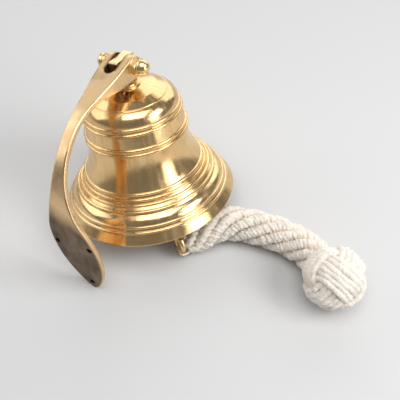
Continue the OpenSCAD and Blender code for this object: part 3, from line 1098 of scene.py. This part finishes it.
def darken_holes(mesh):
    """The screw holes' walls were never polished: tarnished (the tint); their alpha paints
    near-black shade into the holes.
    """
    tint = mesh.attributes["Tint"]
    rgba = np.zeros(len(mesh.vertices) * 4)
    tint.data.foreach_get("color", rgba)
    rgba = rgba.reshape(-1, 4)
    spots = np.zeros(len(mesh.vertices) * 3)
    mesh.vertices.foreach_get("co", spots)
    spots = (spots.reshape(-1, 3) / MM - BELL[1]) @ BELL[0]
    # square to the plate and out of it, as (out, up)
    slant = np.array([math.cos(PLATE_TILT), -math.sin(PLATE_TILT)])
    for x, z in SCREW_HOLES:
        out, up = -spots[:, 1] - plate_p(z), spots[:, 2] - z
        depth = -(out * slant[0] + up * slant[1])
        aside = np.hypot(spots[:, 0] - x, out * math.sin(PLATE_TILT) + up * math.cos(PLATE_TILT))
        wall = (aside < SCREW_R + CHAMFER + 0.3) & (depth < ARM_T + 1)
        rgba[wall, :3] = 1
        rgba[wall & (aside < SCREW_R + 0.2), 3] = HOLE_SHADE
    tint.data.foreach_set("color", rgba.ravel())


SLOT_HALF = 5.0
CROTCH = 14.5
SCREW_HOLES = [(-16, 20), (16, 20), (0, -27.5)]
SCREW_R = 2.25
CHAMFER = 0.9
HOLE_SHADE = 0.1  # painted shade in the holes: share of the brass's own colour left on their walls


def slot_cutter():
    """The slot for the lug: straight sides and a round end."""
    end = arc((0, -CROTCH), SLOT_HALF, 180, 360, 20)
    outline = np.vstack([[(-SLOT_HALF, 30)], end, [(SLOT_HALF, 30)]])
    return prism("slot_cutter", outline, 100, 150, BELL, SATIN, edge=0.01)


def hole_cutter(x, z):
    """A screw hole and its chamfer, square to the plate's outer face at (x, z)."""
    tilt = np.array(Matrix.Rotation(math.pi / 2 + PLATE_TILT, 3, "X"))
    where = shifted(BELL, (x, -plate_p(z), z), tilt)
    bore, lip = [(AXIS, -9), (SCREW_R, -9)], CHAMFER / 2
    shape = bore + [(SCREW_R, -lip), (SCREW_R + CHAMFER, lip), (AXIS, lip)]
    return turned_piece("hole_cutter", shape, where, SATIN, 48, closed=False)


bracket_piece = bracket()
cut(bracket_piece, [slot_cutter()] + [hole_cutter(x, z) for x, z in SCREW_HOLES])
ready(bracket_piece, "bracket", "wall_bracket")

# ---------------------------------------------------------------- clapper and its hanger

swing_plane = BELL[0].T @ CLAPPER[0][:, 0]
CLAP_AZ = math.atan2(swing_plane[1], swing_plane[0])  # the clapper hangs towards this side
ROD_R = 3.5
BALL_R = 13.0
BALL_AT = 78.0
CLAP_LEN = float(np.linalg.norm(HINGE - TAIL)) + EYE_WIRE
TAIL_R = 6.8
TOP_R, TOP_WIRE = 6.0, 2.0
HANG_R, HANG_WIRE = 6.5, 2.2
TOP_DROP = TOP_R - TOP_WIRE - HANG_WIRE - 0.05


def ring(name, r, wire, where, material):
    """A ring of wire in the frame's own XZ plane."""
    a = np.linspace(0, 2 * np.pi, 72, endpoint=False)
    path = np.stack([r * np.cos(a), np.zeros_like(a), r * np.sin(a)], 1)
    verts, faces, uvs = tube(place(path, where), wire, 20, closed=True)
    return new_object(name, verts, faces, material, uvs, None)


def clapper_rod():
    """The tapered rod with its two eyes."""
    low_eye = -(CLAP_LEN - TAIL_R - EYE_WIRE)
    foot = low_eye + TAIL_R
    top = -(TOP_DROP + TOP_R)
    rod = [
        (AXIS, foot - 1.2), (2.6, foot - 1.0), (2.8, foot + 2), (ROD_R - 0.3, -BALL_AT - 12),
        (ROD_R, -BALL_AT), (ROD_R, top - 3), (ROD_R - 0.6, top - 0.2), (2.2, top + 0.9),
        (AXIS, top + 1.0),
    ]
    return join([
        turned_piece("rod", rod, CLAPPER, FITTINGS, 48, 60, closed=False),
        ring("tail_eye", TAIL_R, EYE_WIRE, shifted(CLAPPER, (0, 0, low_eye)), FITTINGS),
        ring("top_eye", TOP_R, TOP_WIRE, shifted(CLAPPER, (0, 0, -TOP_DROP)), FITTINGS),
    ], "clapper_rod_and_eyes")


ready(clapper_rod(), "clapper", "clapper_rod")
ball = np.vstack([[(ROD_R, -12.2)], arc((0, 0), BALL_R, -68, 68, 48), [(ROD_R, 12.2)]])
striker = turned_piece("striker_ball", ball, shifted(CLAPPER, (0, 0, -BALL_AT)), FITTINGS, 96, 60)
ready(striker, "clapper", "clapper_ball")


def hanger():
    """The eye on the stud's end, set across the plane that the clapper swings in."""
    across = np.array(Matrix.Rotation(CLAP_AZ + math.pi / 2, 3, "Z"))
    foot, top = HINGE_Z + 12.2, HINGE_Z + 17.5
    boss = rounded([(0.5, foot), (5.5, foot), (5.5, top), (0.5, top)], [0, 1.2, 0.5, 0])
    return join([
        turned_piece("boss", boss, BELL, INNER, 64),
        ring("eye", HANG_R, HANG_WIRE, shifted(BELL, (0, 0, HINGE_Z + HANG_R), across), INNER),
    ], "hanger_with_eye")


ready(hanger(), "bell", "hanger_eye")

# ---------------------------------------------------------------- table and light


def floor():
    """A plain pale table top."""
    material, _, shader = nodes_of("table")
    shader.inputs["Base Color"].default_value = (0.6, 0.6, 0.6, 1)
    shader.inputs["Roughness"].default_value = 0.85
    size = 3000.0
    verts = [(-size, -size, 0), (size, -size, 0), (size, size, 0), (-size, size, 0)]
    obj = new_object("table_top", verts, [(0, 1, 2, 3)], material, sharp=None)


AIM = Vector((0.02, 0.0, 0.05))


def soft_box(name, bearing, height, distance, width, tall, brightness):
    """An area light aimed at the bell: its bearing (from +X towards +Y) and height in degrees."""
    a, h = math.radians(bearing), math.radians(height)
    towards = Vector((math.cos(h) * math.cos(a), math.cos(h) * math.sin(a), math.sin(h)))
    data = bpy.data.lights.new(name, "AREA")
    data.shape = "RECTANGLE"
    data.size, data.size_y = width, tall
    data.energy = brightness * math.pi * width * tall
    obj = bpy.data.objects.new(name, data)
    obj.location = AIM + distance * towards
    obj.rotation_euler = towards.to_track_quat("Z", "Y").to_euler()
    scene.collection.objects.link(obj)


floor()
soft_box("window", -33, 19, 1.1, 0.38, 0.74, 3.6)
soft_box("key", -14, 42, 1.1, 0.45, 0.45, 8.0)
soft_box("back", 80, 22, 1.4, 2.1, 1.1, 1.5)
soft_box("top", -90, 80, 1.2, 0.9, 0.8, 3.6)
soft_box("left", 160, 26, 1.3, 1.3, 0.8, 1.5)

world = bpy.data.worlds.new("studio")
world.use_nodes = True
world.node_tree.nodes["Background"].inputs["Color"].default_value = (0.55, 0.55, 0.56, 1)
world.node_tree.nodes["Background"].inputs["Strength"].default_value = 0.4
scene.world = world
scene.view_settings.view_transform = "Standard"
